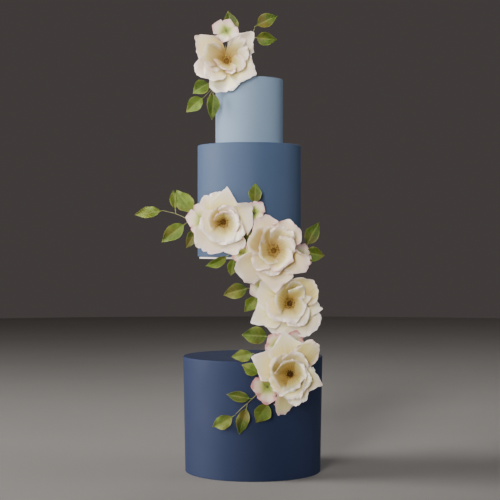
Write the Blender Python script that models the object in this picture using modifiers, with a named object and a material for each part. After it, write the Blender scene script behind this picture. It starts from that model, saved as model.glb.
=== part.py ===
"""A tall three-tier wedding cake with its upper tiers raised on a post behind a cascade of sugar roses.

Run with: blender --background --python part.py
Units are metres, +Z is up, the cake stands on Z = 0 and its front faces -Y.
Sizes are named in millimetres and turned into metres by MM.
"""

import math
from collections import namedtuple

import bmesh
import bpy
from mathutils import Matrix, Vector

MM = 0.001
GAP = 0.3  # clear space left between two pieces that touch

# Tiers: solid cake under rolled icing, each with one diameter all the way up but for the bottom one,
# whose foot is a little narrower.
TIER_SIDES = 48
TIER_EDGE = 1.6  # radius of the rounded top edge
TIER_EDGE_STEPS = 2
BOTTOM_RADIUS = 105.5
BOTTOM_FOOT_RADIUS = 102.3
BOTTOM_HEIGHT = 174.2
AIR_GAP = 147.3  # free height between the bottom tier and the raised ones
BOARD_RADIUS = 75.5
BOARD_THICKNESS = 2.7
MIDDLE_RADIUS = 78.4
MIDDLE_HEIGHT = 168.0
TOP_RADIUS = 51.1
TOP_HEIGHT = 99.5
UPPER_SHIFT = -5.5  # the raised tiers stand a little to the left of the bottom one

# The post stands behind the flowers.
POST_RADIUS = 10.0
POST_X = 38.0
POST_SIDES = 24

BOARD_BASE = BOTTOM_HEIGHT + AIR_GAP
MIDDLE_BASE = BOARD_BASE + BOARD_THICKNESS + GAP
TOP_BASE = MIDDLE_BASE + MIDDLE_HEIGHT + GAP

# Petals: fans of rolled sugar paste that widen from a narrow claw.
PETAL_THICKNESS = 1.1
PETAL_CLAW = 0.14  # width of the root as a share of the greatest width
FAN_REACH = 0.85  # share of the length at which a petal is widest
FAN_CURVE = 1.15  # above 1 the fan starts narrow and spreads late
CUP_AT_ROOT = 1.15  # the cupping is strongest at the root
CUP_LOSS = 0.45  # and this much weaker at the tip
OUTER_PETALS = 6  # the first petals of each rose, whose mesh is finer
OUTER_GRID = (3, 3)  # faces along and across a petal
INNER_GRID = (2, 2)

# Flowers: petals around a swollen heart on a wire.
ROSE_ROOT = 4.5  # how far from the flower's axis the petals start
FLORET_ROOT = 1.5
ROSE_HEART = 11.0  # half the width of the heart
FLORET_HEART = 4.5
HEART_DEPTH = 0.75  # its depth as a share of its width
WIRE_RADIUS = 1.1
WIRE_SIDES = 6
FLAT_ANGLE = 4.0  # faces that lie this near to one plane are made one, in degrees
SLIVER = 0.03  # points this close are made one
SHARP_ANGLE = 35.0  # edges sharper than this are not smoothed over, in degrees

# Leaves and twigs.
LEAF_THICKNESS = 0.8
LEAF_ROWS = 4
LEAF_STALK = 0.1  # share of the leaf's length that is bare stalk
LEAF_FOLD = 16.0  # how far each half of the blade rises from flat, in degrees
LEAF_BELLY = 0.85  # below 1 the blade is widest nearer its stalk
LEAF_FULLNESS = 0.8  # below 1 the blade's outline is fuller than a sine curve
WIRE_HALF = 0.7  # half the width of a leaf's wire
TWIG_RADIUS = 0.8

# A petal's shape: direction in degrees around the flower as seen from the front, length along its
# middle, greatest width, rise of its base and tip above the flower's face in degrees, how far its
# sides cup forwards in degrees, how its end is cut, how much one corner leads, and its roll.
Petal = namedtuple("Petal", "turn length width rise_base rise_tip cup end lead roll")

# How a petal's end is cut: how much shorter its corners are, and how late the shortening sets in.
Cut = namedtuple("Cut", "depth lateness")
ROUND = Cut(0.22, 2.6)
SQUARE = Cut(0.13, 4)
POINTED = Cut(0.32, 1.2)

# A flower: place of the petals' root, the way it faces (turn to the right, tilt upwards), its petals,
# the place its wire runs to, and how far from its axis the petals start.
Flower = namedtuple("Flower", "place turn tilt petals anchor root")

# A leaf: place of its stalk's end, heading in the front view (0 right, 90 up), lean towards the front,
# length, width, roll about its length, droop of the tip in degrees, and where its wire ends.
Leaf = namedtuple("Leaf", "place heading lean length width roll droop anchor")

ROSE_TOP = [
    Petal(137, 53, 46, 48, 12, 36, SQUARE, -0.06, 10),
    Petal(40, 54, 48, 45, 8, 24, SQUARE, 0.12, 10),
    Petal(198, 51, 42, 42, 6, 20, SQUARE, -0.04, 10),
    Petal(262, 47, 48, 44, 6, 18, SQUARE, -0.06, 10),
    Petal(330, 52, 46, 46, 10, 34, SQUARE, 0.05, 10),
    Petal(76, 45, 32, 66, 34, 34, ROUND, 0.0, 9),
    Petal(128, 42, 32, 66, 38, 38, ROUND, 0.0, 9),
    Petal(234, 32, 32, 56, 18, 26, ROUND, 0.0, 9),
    Petal(350, 33, 28, 62, 30, 30, ROUND, 0.0, 9),
    Petal(286, 20, 24, 88, 74, 50, ROUND, 0.0, 0),
]
ROSE_LEFT = [
    Petal(126, 50, 44, 46, 8, 26, SQUARE, 0.05, 10),
    Petal(84, 54, 38, 44, 8, 22, POINTED, 0.0, 10),
    Petal(20, 50, 46, 46, 10, 30, SQUARE, -0.06, 10),
    Petal(303, 51, 46, 44, 6, 28, SQUARE, -0.08, 10),
    Petal(232, 54, 52, 42, 4, 18, SQUARE, 0.04, 10),
    Petal(182, 35, 38, 56, 20, 24, ROUND, 0.0, 9),
    Petal(102, 30, 28, 74, 50, 40, ROUND, 0.0, 9),
    Petal(36, 36, 30, 74, 48, 42, ROUND, 0.0, 9),
    Petal(325, 30, 26, 70, 42, 34, ROUND, 0.0, 9),
    Petal(262, 30, 34, 58, 22, 26, ROUND, 0.0, 9),
]
ROSE_MIDDLE = [
    Petal(110, 54, 44, 45, 8, 22, ROUND, -0.05, 10),
    Petal(51, 55, 48, 45, 8, 22, SQUARE, -0.06, 10),
    Petal(216, 63, 44, 40, 6, 16, SQUARE, -0.05, 10),
    Petal(266, 56, 52, 40, 2, 18, ROUND, 0.08, 10),
    Petal(335, 58, 42, 44, 10, 26, SQUARE, 0.0, 10),
    Petal(155, 47, 38, 60, 24, 34, ROUND, 0.0, 9),
    Petal(74, 44, 34, 68, 36, 34, SQUARE, 0.06, 9),
    Petal(260, 37, 38, 58, 24, 28, ROUND, 0.0, 9),
    Petal(316, 42, 42, 74, 50, 38, ROUND, 0.0, 9),
    Petal(198, 36, 30, 70, 44, 36, ROUND, 0.0, 9),
]
ROSE_GAP = [
    Petal(158, 50, 46, 46, 10, 28, ROUND, 0.0, 10),
    Petal(44, 50, 48, 46, 8, 34, ROUND, -0.04, 10),
    Petal(350, 48, 42, 44, 8, 26, SQUARE, -0.05, 10),
    Petal(310, 59, 46, 40, 2, 18, SQUARE, 0.05, 10),
    Petal(252, 49, 46, 44, 6, 20, SQUARE, -0.06, 10),
    Petal(207, 63, 46, 40, 4, 18, POINTED, 0.0, 10),
    Petal(92, 42, 38, 66, 36, 34, ROUND, 0.0, 9),
    Petal(38, 41, 28, 70, 42, 36, POINTED, 0.0, 9),
    Petal(150, 37, 34, 72, 46, 40, ROUND, 0.0, 9),
    Petal(272, 25, 32, 56, 22, 28, SQUARE, 0.0, 9),
]
ROSE_LOW = [
    Petal(97, 63, 52, 42, 6, 22, POINTED, 0.0, 10),
    Petal(155, 62, 52, 42, 6, 20, ROUND, -0.04, 10),
    Petal(46, 61, 46, 42, 6, 22, SQUARE, 0.05, 10),
    Petal(348, 51, 48, 48, 14, 30, SQUARE, -0.06, 10),
    Petal(296, 50, 46, 46, 10, 28, SQUARE, 0.05, 10),
    Petal(261, 59, 38, 40, 4, 18, SQUARE, 0.0, 10),
    Petal(68, 42, 44, 62, 30, 36, ROUND, 0.05, 9),
    Petal(104, 36, 40, 78, 56, 42, ROUND, 0.0, 9),
    Petal(192, 40, 44, 72, 40, 38, ROUND, 0.0, 9),
    Petal(30, 41, 38, 72, 46, 40, ROUND, 0.0, 9),
    Petal(246, 41, 40, 62, 26, 32, ROUND, 0.0, 9),
]

ROSES = {
    "rose_top": Flower((-39.3, -46, 615), 0, -8, ROSE_TOP, (-33, -28, 594), ROSE_ROOT),
    "rose_left": Flower((-43.4, -80, 375.3), 0, -1, ROSE_LEFT, (-42, -70.6, 375), ROSE_ROOT),
    "rose_middle": Flower((29.6, -82, 334), 0, 0, ROSE_MIDDLE, (28.5, -70.6, 336), ROSE_ROOT),
    "rose_gap": Flower((54.8, -52, 255.4), 0, 3, ROSE_GAP, (43, -9.2, 252), ROSE_ROOT),
    "rose_low": Flower((53.6, -108, 156.6), -4, 5, ROSE_LOW, (50, -94, 155), ROSE_ROOT),
}


# A small blossom's four petals: each one's length as a share of the blossom's size, and its lead.
FLORET_PETALS = ((1.0, 0.05), (0.9, -0.05), (1.04, 0.0), (0.94, 0.06))
FLORET_WIDTH = 0.9  # of each petal, as a share of its length
FLORET_CUP = 22
FLORET_ROLL = 10
SHUT_BASE, SHUT_TIP = 66, 34  # rises of the petals of a half-shut blossom
OPENING_BASE, OPENING_TIP = 20, 26  # how far those rises fall as it opens flat


def floret(turn, size, openness=1.0):
    """The four petals of a small blossom; openness 1 is flat, 0 is half shut."""
    base = SHUT_BASE - OPENING_BASE * openness
    tip = SHUT_TIP - OPENING_TIP * openness
    step = 360 / len(FLORET_PETALS)
    petals = []
    for index, (share, lead) in enumerate(FLORET_PETALS):
        length = size * share
        width = FLORET_WIDTH * length
        petals.append(
            Petal(turn + step * index, length, width, base, tip, FLORET_CUP, ROUND, lead, FLORET_ROLL)
        )
    return petals


FLORETS = {
    "floret_top": Flower((-40.4, -24, 663.7), 0, -6, floret(60, 24), (-30, -14, 594), FLORET_ROOT),
    "floret_left": Flower((-74.8, -70, 378.3), -14, 0, floret(80, 25), (-62, -56, 376), FLORET_ROOT),
    "floret_inner": Flower((4.3, -84, 390), 10, 0, floret(50, 19, 0.6), (3, -77.9, 389), FLORET_ROOT),
    "floret_under": Flower((-14.6, -82, 330), 0, -8, floret(20, 18, 0.5), (-13, -79.2, 332), FLORET_ROOT),
    "floret_right": Flower((68, -58, 321.5), 14, 0, floret(70, 22), (55, -52.5, 328), FLORET_ROOT),
    "floret_gap": Flower((13.5, -42, 280), -10, 0, floret(30, 20), (29, -7.5, 276), FLORET_ROOT),
    "floret_low_left": Flower((34.6, -99, 197), -6, 6, floret(40, 20, 0.7), (37, -84, 176), FLORET_ROOT),
    "floret_low_right": Flower((59, -60, 196), 6, 4, floret(75, 20, 0.7), (55, -50, 176), FLORET_ROOT),
    "floret_low_outer": Flower((20, -107.4, 138), 9, 0, floret(86, 25, 1.2), (21, -103.6, 137), FLORET_ROOT),
}

LEAVES = {
    "leaf_top_right_upper": Leaf((4, -20, 670.5), 27, 6, 37, 23, -10, 12, (2.2, -20, 668.8)),
    "leaf_top_right_lower": Leaf((2.6, -22, 653.5), -9, 10, 34, 21, 12, 14, (-1, -20.6, 654.5)),
    "leaf_top_back": Leaf((-28, -12, 655), 104, 3, 42, 26, 0, 8, (-24, -9, 593)),
    "leaf_top_left": Leaf((-64.5, -38, 584), 210, 12, 30, 24, 10, 14, (-39, -37, 603)),
    "leaf_top_left_low": Leaf((-73.5, -30, 563), 218, 10, 35, 22, 8, 14, (-38, -33, 600)),
    "leaf_top_small": Leaf((-66, -35, 566), 300, 4, 22, 9, 0, 6, (-40.5, -35, 600.5)),
    "leaf_top_hanging": Leaf((-58.7, -43, 570), 268, 8, 42, 20, -12, 10, (-41, -40, 602)),
    "leaf_sprig_far": Leaf((-133.2, -56, 393), 187, 5, 43, 18, 6, 12, (-132.4, -56.1, 392.8)),
    "leaf_sprig_thin": Leaf((-114.6, -54, 393.5), 97, -6, 31, 9, 0, 6, (-114, -57, 389.2)),
    "leaf_sprig_round": Leaf((-86.6, -56, 389), 129, 8, 44, 27, -8, 10, (-92, -60, 381)),
    "leaf_sprig_low": Leaf((-98.8, -60, 374), 216, 5, 47, 24, 8, 14, (-92, -61.4, 377)),
    "leaf_left_dark": Leaf((-79.4, -62, 365.5), 234, 3, 34, 18, 10, 10, (-81, -58, 373.2)),
    "leaf_left_upper": Leaf((2.4, -84, 401), 88, 5, 32, 20, 0, 12, (3, -79.3, 392)),
    "leaf_right_upper": Leaf((78.2, -55, 340), 63, 7, 41, 22, -8, 12, (62, -41.6, 336)),
    "leaf_right_lower": Leaf((75.4, -55, 331.7), 347, 13, 31, 24, 10, 12, (60, -44.4, 330)),
    "leaf_under_curled": Leaf((-36.4, -84, 327), 217, 9, 39, 16, -25, 26, (-33, -75, 334)),
    "leaf_under_left": Leaf((-27.2, -82, 324), 259, 8, 28, 16, 0, 14, (-24, -77.6, 332)),
    "leaf_between": Leaf((-4.4, -87, 364), 260, 1, 31, 18, 0, 8, (-5, -79.4, 372)),
    "leaf_gap_left": Leaf((-6, -44, 278), 193, 9, 40, 24, 10, 14, (29.5, -7.5, 270)),
    "leaf_gap_low": Leaf((6, -42, 266), 232, 12, 30, 20, -8, 12, (29.5, -6.5, 262)),
    "leaf_gap_bottom": Leaf((23.8, -66, 207.6), 175, 8, 41, 27, 8, 14, (34, -10.6, 205)),
    "leaf_rim_left": Leaf((1, -112, 186), 190, 4, 33, 19, -8, 10, (6, -97, 175.4)),
    "leaf_front_left": Leaf((9.7, -112, 157), 153, 4, 29, 20, 6, 8, (14, -105.4, 157)),
    "leaf_spray_left": Leaf((-2, -110, 121), 170, 0, 37, 17, 6, 8, (0, -110.2, 122.4)),
    "leaf_spray_far": Leaf((-27.4, -108, 96.5), 210, -10, 38, 22, -6, 8, (-26, -107, 97.4)),
    "leaf_spray_middle": Leaf((-8.7, -110, 110.5), 254, 2, 43, 20, 8, 8, (-8.4, -110.4, 114)),
    "leaf_spray_right": Leaf((23.2, -110, 115.4), 239, 6, 35, 26, -6, 10, (22, -104.2, 126)),
}

TWIGS = {
    "twig_top": [
        (-18, -13, 593.5), (-15, -14, 612), (-12, -16, 632),
        (-5, -18, 648), (0, -19.5, 661), (2.2, -19.8, 667.5),
    ],
    "twig_left": [
        (-70, -46, 372), (-80, -56, 374.5), (-88, -61, 377),
        (-100, -60, 382), (-114, -58, 388), (-131.5, -56.3, 392.6),
    ],
    "twig_low": [
        (14, -106, 137), (10, -107, 132), (3, -108, 125),
        (-6, -108.4, 116.5), (-15, -107.5, 108.5), (-25.2, -106.6, 98.4),
    ],
}

# Colour, roughness and metallic of each finish.
MATERIALS = {
    "icing_pale": ((0.30, 0.37, 0.44), 0.62, 0.0),
    "icing_blue": ((0.13, 0.20, 0.30), 0.62, 0.0),
    "icing_dark": ((0.055, 0.085, 0.15), 0.62, 0.0),
    "card": ((0.75, 0.72, 0.68), 0.8, 0.0),
    "post": ((0.05, 0.05, 0.055), 0.5, 0.0),
    "sugar_cream": ((0.76, 0.70, 0.62), 0.55, 0.0),
    "sugar_pink": ((0.72, 0.55, 0.50), 0.55, 0.0),
    "leaf_green": ((0.20, 0.27, 0.06), 0.45, 0.0),
    "twig_green": ((0.33, 0.33, 0.18), 0.6, 0.0),
}


def clear_scene():
    for item in list(bpy.data.objects):
        bpy.data.objects.remove(item, do_unlink=True)


def new_collection(name):
    collection = bpy.data.collections.new(name)
    bpy.context.scene.collection.children.link(collection)
    return collection


def make_material(name):
    colour, roughness, metallic = MATERIALS[name]
    material = bpy.data.materials.new(name)
    material.use_nodes = True
    shader = material.node_tree.nodes["Principled BSDF"]
    shader.inputs["Base Color"].default_value = (*colour, 1.0)
    shader.inputs["Roughness"].default_value = roughness
    shader.inputs["Metallic"].default_value = metallic
    return material


def add_object(name, bm, collection, material=None):
    """Turn a bmesh made in millimetres into a named object in metres."""
    bm.transform(Matrix.Scale(MM, 4))
    mesh = bpy.data.meshes.new(name)
    bm.to_mesh(mesh)
    bm.free()
    mesh.shade_smooth()
    mesh.set_sharp_from_angle(angle=math.radians(SHARP_ANGLE))
    if material is not None:
        mesh.materials.append(material)
    item = bpy.data.objects.new(name, mesh)
    collection.objects.link(item)
    return item


def add_solidify(item, thickness):
    modifier = item.modifiers.new("thickness", "SOLIDIFY")
    modifier.thickness = thickness * MM
    modifier.offset = 0.0


def add_drum(name, radius, foot_radius, height, base, centre, edge, sides, collection, material):
    """An upright round block, with its top edge rounded where edge is not 0."""
    bm = bmesh.new()
    bmesh.ops.create_cone(
        bm, cap_ends=True, segments=sides, radius1=foot_radius, radius2=radius, depth=height
    )
    bm.transform(Matrix.Translation((0, 0, height / 2)))
    if edge:
        rim = [e for e in bm.edges if all(v.co.z > height - edge / 2 for v in e.verts)]
        bmesh.ops.bevel(
            bm, geom=rim, offset=edge, segments=TIER_EDGE_STEPS, profile=0.5, affect="EDGES"
        )
    item = add_object(name, bm, collection, material)
    item.location = (centre * MM, 0, base * MM)
    return item


def width_share(along):
    """A petal's width along its length, as a share of its greatest width: a fan from a narrow claw."""
    spread = math.sin(math.pi / 2 * min(1.0, along / FAN_REACH)) ** FAN_CURVE
    return PETAL_CLAW + (1 - PETAL_CLAW) * spread


def end_share(petal, across):
    """How much of the full length the petal has at one place across its end."""
    return 1.0 - petal.end.depth * abs(across) ** petal.end.lateness + petal.lead * across


def midline(petal, distance):
    """Place (out from the axis, forwards) and rise angle of the petal's middle at a distance along it."""
    start = math.radians(petal.rise_base)
    bend = (math.radians(petal.rise_tip) - start) / petal.length
    angle = start + bend * distance
    out = (math.sin(angle) - math.sin(start)) / bend
    forward = (math.cos(start) - math.cos(angle)) / bend
    return out, forward, angle


def petal_point(petal, root, along, across):
    """A point of the petal's sheet in its flower's frame, where +Z is the way the flower faces."""
    distance = petal.length * along * (1 + (end_share(petal, across) - 1) * along ** 2)
    out, forward, angle = midline(petal, distance)
    half = 0.5 * petal.width * width_share(along)
    bow = math.radians(petal.cup) * (CUP_AT_ROOT - CUP_LOSS * along)
    side = half * math.sin(bow * across) / bow
    lift = half * (1 - math.cos(bow * across)) / bow
    roll = math.radians(petal.roll) * min(1.0, 2 * along)
    side, lift = (
        side * math.cos(roll) - lift * math.sin(roll),
        side * math.sin(roll) + lift * math.cos(roll),
    )
    out += root - lift * math.sin(angle)
    forward += lift * math.cos(angle)
    turn = math.radians(petal.turn)
    return Vector(
        (
            out * math.cos(turn) - side * math.sin(turn),
            out * math.sin(turn) + side * math.cos(turn),
            forward,
        )
    )


def add_sheet(bm, rows, columns, place):
    """Add an open sheet of rows x columns faces; place(along, across) gives each point."""
    grid = []
    for row in range(rows + 1):
        line = []
        for column in range(columns + 1):
            line.append(bm.verts.new(place(row / rows, 2 * column / columns - 1)))
        grid.append(line)
    for row in range(rows):
        for column in range(columns):
            bm.faces.new(
                (
                    grid[row][column],
                    grid[row][column + 1],
                    grid[row + 1][column + 1],
                    grid[row + 1][column],
                )
            )


def flower_frame(flower):
    """The matrix that turns a flower to the front, then by its own turn and tilt, and places it."""
    return (
        Matrix.Translation(flower.place)
        @ Matrix.Rotation(math.radians(flower.turn), 4, "Z")
        @ Matrix.Rotation(math.radians(90 - flower.tilt), 4, "X")
    )


def core_mesh(flower, radius):
    """The swollen hip behind the petals and the wire that runs from it to the anchor."""
    bm = bmesh.new()
    hip = Vector(flower.place)
    squashed = Matrix.Diagonal((1, 1, HEART_DEPTH, 1))
    bmesh.ops.create_icosphere(
        bm, subdivisions=1, radius=radius, matrix=flower_frame(flower) @ squashed
    )
    run = Vector(flower.anchor) - hip
    run.length -= GAP
    turned = run.to_track_quat("Z", "Y").to_matrix().to_4x4()
    bmesh.ops.create_cone(
        bm,
        cap_ends=True,
        segments=WIRE_SIDES,
        radius1=WIRE_RADIUS,
        radius2=WIRE_RADIUS,
        depth=run.length,
        matrix=Matrix.Translation(hip + run / 2) @ turned,
    )
    return bm


def add_flower(name, flower, outer, heart, parts, cutters, material):
    """One solid flower: its petals as thick sheets, joined to the core behind them."""
    bm = bmesh.new()
    for index, petal in enumerate(flower.petals):
        rows, columns = OUTER_GRID if index < outer else INNER_GRID
        add_sheet(bm, rows, columns, lambda u, v, p=petal: petal_point(p, flower.root, u, v))
    bm.transform(flower_frame(flower))
    item = add_object(name, bm, parts, material)
    add_solidify(item, PETAL_THICKNESS)
    core = add_object(name + "_core", core_mesh(flower, heart), cutters)
    core.hide_render = True
    core.display_type = "WIRE"
    join = item.modifiers.new("core", "BOOLEAN")
    join.operation = "UNION"
    join.solver = "EXACT"
    join.use_self = True
    join.object = core
    weld = item.modifiers.new("slivers", "WELD")
    weld.merge_threshold = SLIVER * MM
    merge = item.modifiers.new("flat_faces", "DECIMATE")
    merge.decimate_type = "DISSOLVE"
    merge.angle_limit = math.radians(FLAT_ANGLE)
    return item


def leaf_frame(leaf):
    """The matrix that turns a leaf from lying along +X to its heading, lean and roll, and places it."""
    return (
        Matrix.Translation(leaf.place)
        @ Matrix.Rotation(math.radians(90), 4, "X")
        @ Matrix.Rotation(math.radians(leaf.heading), 4, "Z")
        @ Matrix.Rotation(math.radians(-leaf.lean), 4, "Y")
        @ Matrix.Rotation(math.radians(leaf.roll), 4, "X")
    )


def leaf_point(leaf, along, across):
    """A point of the leaf's sheet in its own frame: a short stalk, then a blade folded along its midrib."""
    blade = max(0.0, (along - LEAF_STALK) / (1 - LEAF_STALK))
    half = WIRE_HALF
    if 0 < blade < 1:
        outline = math.sin(math.pi * blade ** LEAF_BELLY) ** LEAF_FULLNESS
        half = max(half, 0.5 * leaf.width * outline)
    fold = math.radians(LEAF_FOLD)
    bend = -math.radians(leaf.droop) * 2 / leaf.length
    distance = leaf.length * along
    out = math.sin(bend * distance) / bend
    drop = (1 - math.cos(bend * distance)) / bend
    return Vector((out, half * across * math.cos(fold), half * abs(across) * math.sin(fold) + drop))


def add_leaf(name, leaf, parts, material):
    """One solid leaf: its wire from the anchor to the stalk, then the blade, all one thick sheet."""
    frame = leaf_frame(leaf)
    wire_end = frame.inverted() @ Vector(leaf.anchor)

    def place(along, across):
        row = along * (LEAF_ROWS + 1)
        if row < 0.5:
            return wire_end + Vector((0, WIRE_HALF * across, 0))
        return leaf_point(leaf, (row - 1) / LEAF_ROWS, across)

    bm = bmesh.new()
    add_sheet(bm, LEAF_ROWS + 1, 2, place)
    bm.transform(frame)
    item = add_object(name, bm, parts, material)
    add_solidify(item, LEAF_THICKNESS)
    return item


def add_twig(name, points, parts, material):
    """A thin stalk as a tube along a few hand-set points."""
    curve = bpy.data.curves.new(name, "CURVE")
    curve.dimensions = "3D"
    curve.bevel_depth = TWIG_RADIUS * MM
    curve.bevel_resolution = 1
    curve.use_fill_caps = True
    spline = curve.splines.new("POLY")
    spline.points.add(len(points) - 1)
    for knot, point in zip(spline.points, points):
        knot.co = (*(value * MM for value in point), 1.0)
    curve.materials.append(material)
    item = bpy.data.objects.new(name, curve)
    parts.objects.link(item)
    return item


def build_tiers(parts, materials):
    add_drum(
        "tier_bottom", BOTTOM_RADIUS, BOTTOM_FOOT_RADIUS, BOTTOM_HEIGHT, 0, 0,
        TIER_EDGE, TIER_SIDES, parts, materials["icing_dark"],
    )
    add_drum(
        "middle_board", BOARD_RADIUS, BOARD_RADIUS, BOARD_THICKNESS, BOARD_BASE, UPPER_SHIFT,
        0, TIER_SIDES, parts, materials["card"],
    )
    add_drum(
        "tier_middle", MIDDLE_RADIUS, MIDDLE_RADIUS, MIDDLE_HEIGHT, MIDDLE_BASE, UPPER_SHIFT,
        TIER_EDGE, TIER_SIDES, parts, materials["icing_blue"],
    )
    add_drum(
        "tier_top", TOP_RADIUS, TOP_RADIUS, TOP_HEIGHT, TOP_BASE, UPPER_SHIFT,
        TIER_EDGE, TIER_SIDES, parts, materials["icing_pale"],
    )


def build_post(parts, materials):
    add_drum(
        "post", POST_RADIUS, POST_RADIUS, AIR_GAP - 2 * GAP, BOTTOM_HEIGHT + GAP, POST_X,
        0, POST_SIDES, parts, materials["post"],
    )


def build_flowers(parts, cutters, materials):
    for name, rose in ROSES.items():
        add_flower(
            name, rose, OUTER_PETALS, ROSE_HEART, parts, cutters, materials["sugar_cream"]
        )
    for name, blossom in FLORETS.items():
        add_flower(name, blossom, 0, FLORET_HEART, parts, cutters, materials["sugar_pink"])


def build_greenery(parts, materials):
    for name, leaf in LEAVES.items():
        add_leaf(name, leaf, parts, materials["leaf_green"])
    for name, points in TWIGS.items():
        add_twig(name, points, parts, materials["twig_green"])


def main():
    clear_scene()
    parts = new_collection("wedding_cake")
    cutters = new_collection("cutters")
    materials = {name: make_material(name) for name in MATERIALS}
    build_tiers(parts, materials)
    build_post(parts, materials)
    build_flowers(parts, cutters, materials)
    build_greenery(parts, materials)


main()
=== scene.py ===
"""Looks of the tiered wedding cake: iced tiers, sugar roses, blossoms, leaves and stalks, and the studio.

Shapes are worked out in millimetres. put_piece() turns them into metres and sets each one where the
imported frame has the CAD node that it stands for. In a flower's own frame +Z is the way it faces.
"""

import math
import random
from collections import namedtuple

import bpy
import numpy as np
from mathutils import Matrix, Vector

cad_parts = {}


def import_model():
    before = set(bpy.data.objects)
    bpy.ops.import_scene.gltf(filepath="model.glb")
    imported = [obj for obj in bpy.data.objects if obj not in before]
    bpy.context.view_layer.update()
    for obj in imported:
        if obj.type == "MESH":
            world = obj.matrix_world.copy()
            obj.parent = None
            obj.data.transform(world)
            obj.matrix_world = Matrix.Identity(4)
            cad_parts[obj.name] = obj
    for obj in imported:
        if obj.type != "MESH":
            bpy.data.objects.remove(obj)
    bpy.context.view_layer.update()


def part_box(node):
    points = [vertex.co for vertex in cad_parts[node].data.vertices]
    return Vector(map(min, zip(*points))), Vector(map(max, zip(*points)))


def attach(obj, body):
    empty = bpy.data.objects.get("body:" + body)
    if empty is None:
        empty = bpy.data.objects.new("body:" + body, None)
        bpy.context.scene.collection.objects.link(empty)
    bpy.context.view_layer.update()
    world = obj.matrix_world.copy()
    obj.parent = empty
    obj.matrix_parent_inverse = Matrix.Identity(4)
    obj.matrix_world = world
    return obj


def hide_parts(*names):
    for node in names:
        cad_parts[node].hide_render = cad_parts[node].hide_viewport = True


MM = 0.001
BODY = "root"

# Petals: broad fans of thin sugar paste.
PETAL_CLAW = 0.2  # width of the root as a share of the greatest width
FAN_REACH = 0.72
FAN_CURVE = 0.95
CUP_AT_ROOT = 1.15
CUP_LOSS = 0.45
PETAL_MIDDLE = 0.8  # thickness of the sugar paste near the root and at the edge
PETAL_RIM = 0.3
# The paler colour toward the rim is partly the thinner paste and partly a painted highlight along the edges.
RIM_WIDTH = 7.0  # how far in from its edge a petal is thinned, ruffled and dusted with colour
CURL_START = 0.78  # share of the length where the tip begins to curl
SIDE_START = 0.45  # share of the half width where a side begins to fold, and where it has folded
SIDE_END = 0.75
SEAT_DEPTH = 6.0  # how far behind the heart the first petal is set; the last one is set at it
FLORET_SEAT = 0.5
ROSE_ROOT = 3.0
FLORET_ROOT = 1.5
ROSE_GRID = (44, 40)
FLORET_GRID = (22, 24)

LEAF_GRID = (84, 14)
LEAF_THICKNESS = 0.55
LEAF_STALK = 0.1
LEAF_FOLD = 22.0
LEAF_BELLY = 0.85
LEAF_FULLNESS = 0.8
WIRE_HALF = 0.7

# A petal: the way it points, its length and width, how steeply it rises from the flower's face at
# its root and at its tip, how far it is cupped, its end, how much further its anticlockwise corner
# reaches and how far it rolls to that side. Then the forward curl of its tip and of its clockwise
# and its anticlockwise side, the depth of its ruffles, how pink its rim is, and how much further than
# its neighbours' the colour of its root spreads. On petals whose faces lie in shade, such as the
# left walls of the bowls and the deep cups, that spread is raised so that it also paints the shade.
Petal = namedtuple(
    "Petal",
    "turn length width rise_base rise_tip cup end lead roll curl clockwise counter ruffle blush stain",
    defaults=(0, 10, 0, 0, 0, 1.0, 0.3, 1.0),
)
# A petal's end: how far its sides fall short of its tip, the share of the half width that is flat,
# and how round the slope between them is.
Cut = namedtuple("Cut", "depth flat roundness")
ROUND = Cut(0.3, 0.1, 1.8)
BLUNT = Cut(0.34, 0.35, 1.3)
SQUARE = Cut(0.2, 0.5, 1.3)
KITE = Cut(0.42, 0.04, 1.02)
SPEAR = Cut(0.55, 0.0, 1.1)

# A flower: where its heart lies within the CAD node's box (shares of its sides), the way it faces
# (turn to the right, tilt upwards), its petals, the way from its heart to the end of its wire, how
# far its base colour reaches, which also paints the shade deep in the bowls, its stamens and how
# dark they are, and how dusty pink its petals are, partly pink dust and partly painted pinkish shade.
Flower = namedtuple("Flower", "heart turn tilt petals wire stain stamens dark dust", defaults=(0.3,))

ROSE_TOP = [
    Petal(142, 66, 44, 40, 16, 30, KITE, 0.06, 10, 30, 20, 0, 1.0, 1.0, 1.2),
    Petal(46, 60, 42, 32, 4, 18, KITE, 0.02, 8, 0, -30),
    Petal(196, 49, 36, 32, 4, 18, BLUNT, 0.04, 0, -30),
    Petal(266, 45, 46, 30, 2, 14, SQUARE, -0.08),
    Petal(335, 50, 50, 36, 10, 28, KITE, 0, 0, -20),
    Petal(155, 48, 35, 46, 52, 34, SQUARE, 0.0, 9, -20, 0, 0, 1.0, 0.3, 1.9),
    Petal(28, 42, 30, 32, 50, 30, SQUARE, 0.1, 0, -50, 0, -60, 1.2, 0.6),
    Petal(54, 52, 26, 34, 56, 28, SQUARE, 0.0, 6, -30, -60, 0, 0.8, 1.0, 1.2),
    Petal(184, 36, 32, 30, 56, 30, ROUND, 0.0, 9, -60, 0, 0, 1.4),
    Petal(222, 42, 38, 28, 50, 30, BLUNT, 0.0, 9, -60, 0, 0, 1.4),
    Petal(350, 35, 26, 26, 66, 34, ROUND, 0.0, 9, -90, 0, 0, 1.2, 0.8),
    Petal(300, 32, 18, 40, 80, 34, ROUND, 0.0, 0, -70, 0, 0, 0.6, 1.2),
    Petal(244, 29, 38, 48, 100, 40, ROUND, 0.0, 0, -60, 0, 0, 0.8, 1.4),
]
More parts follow.
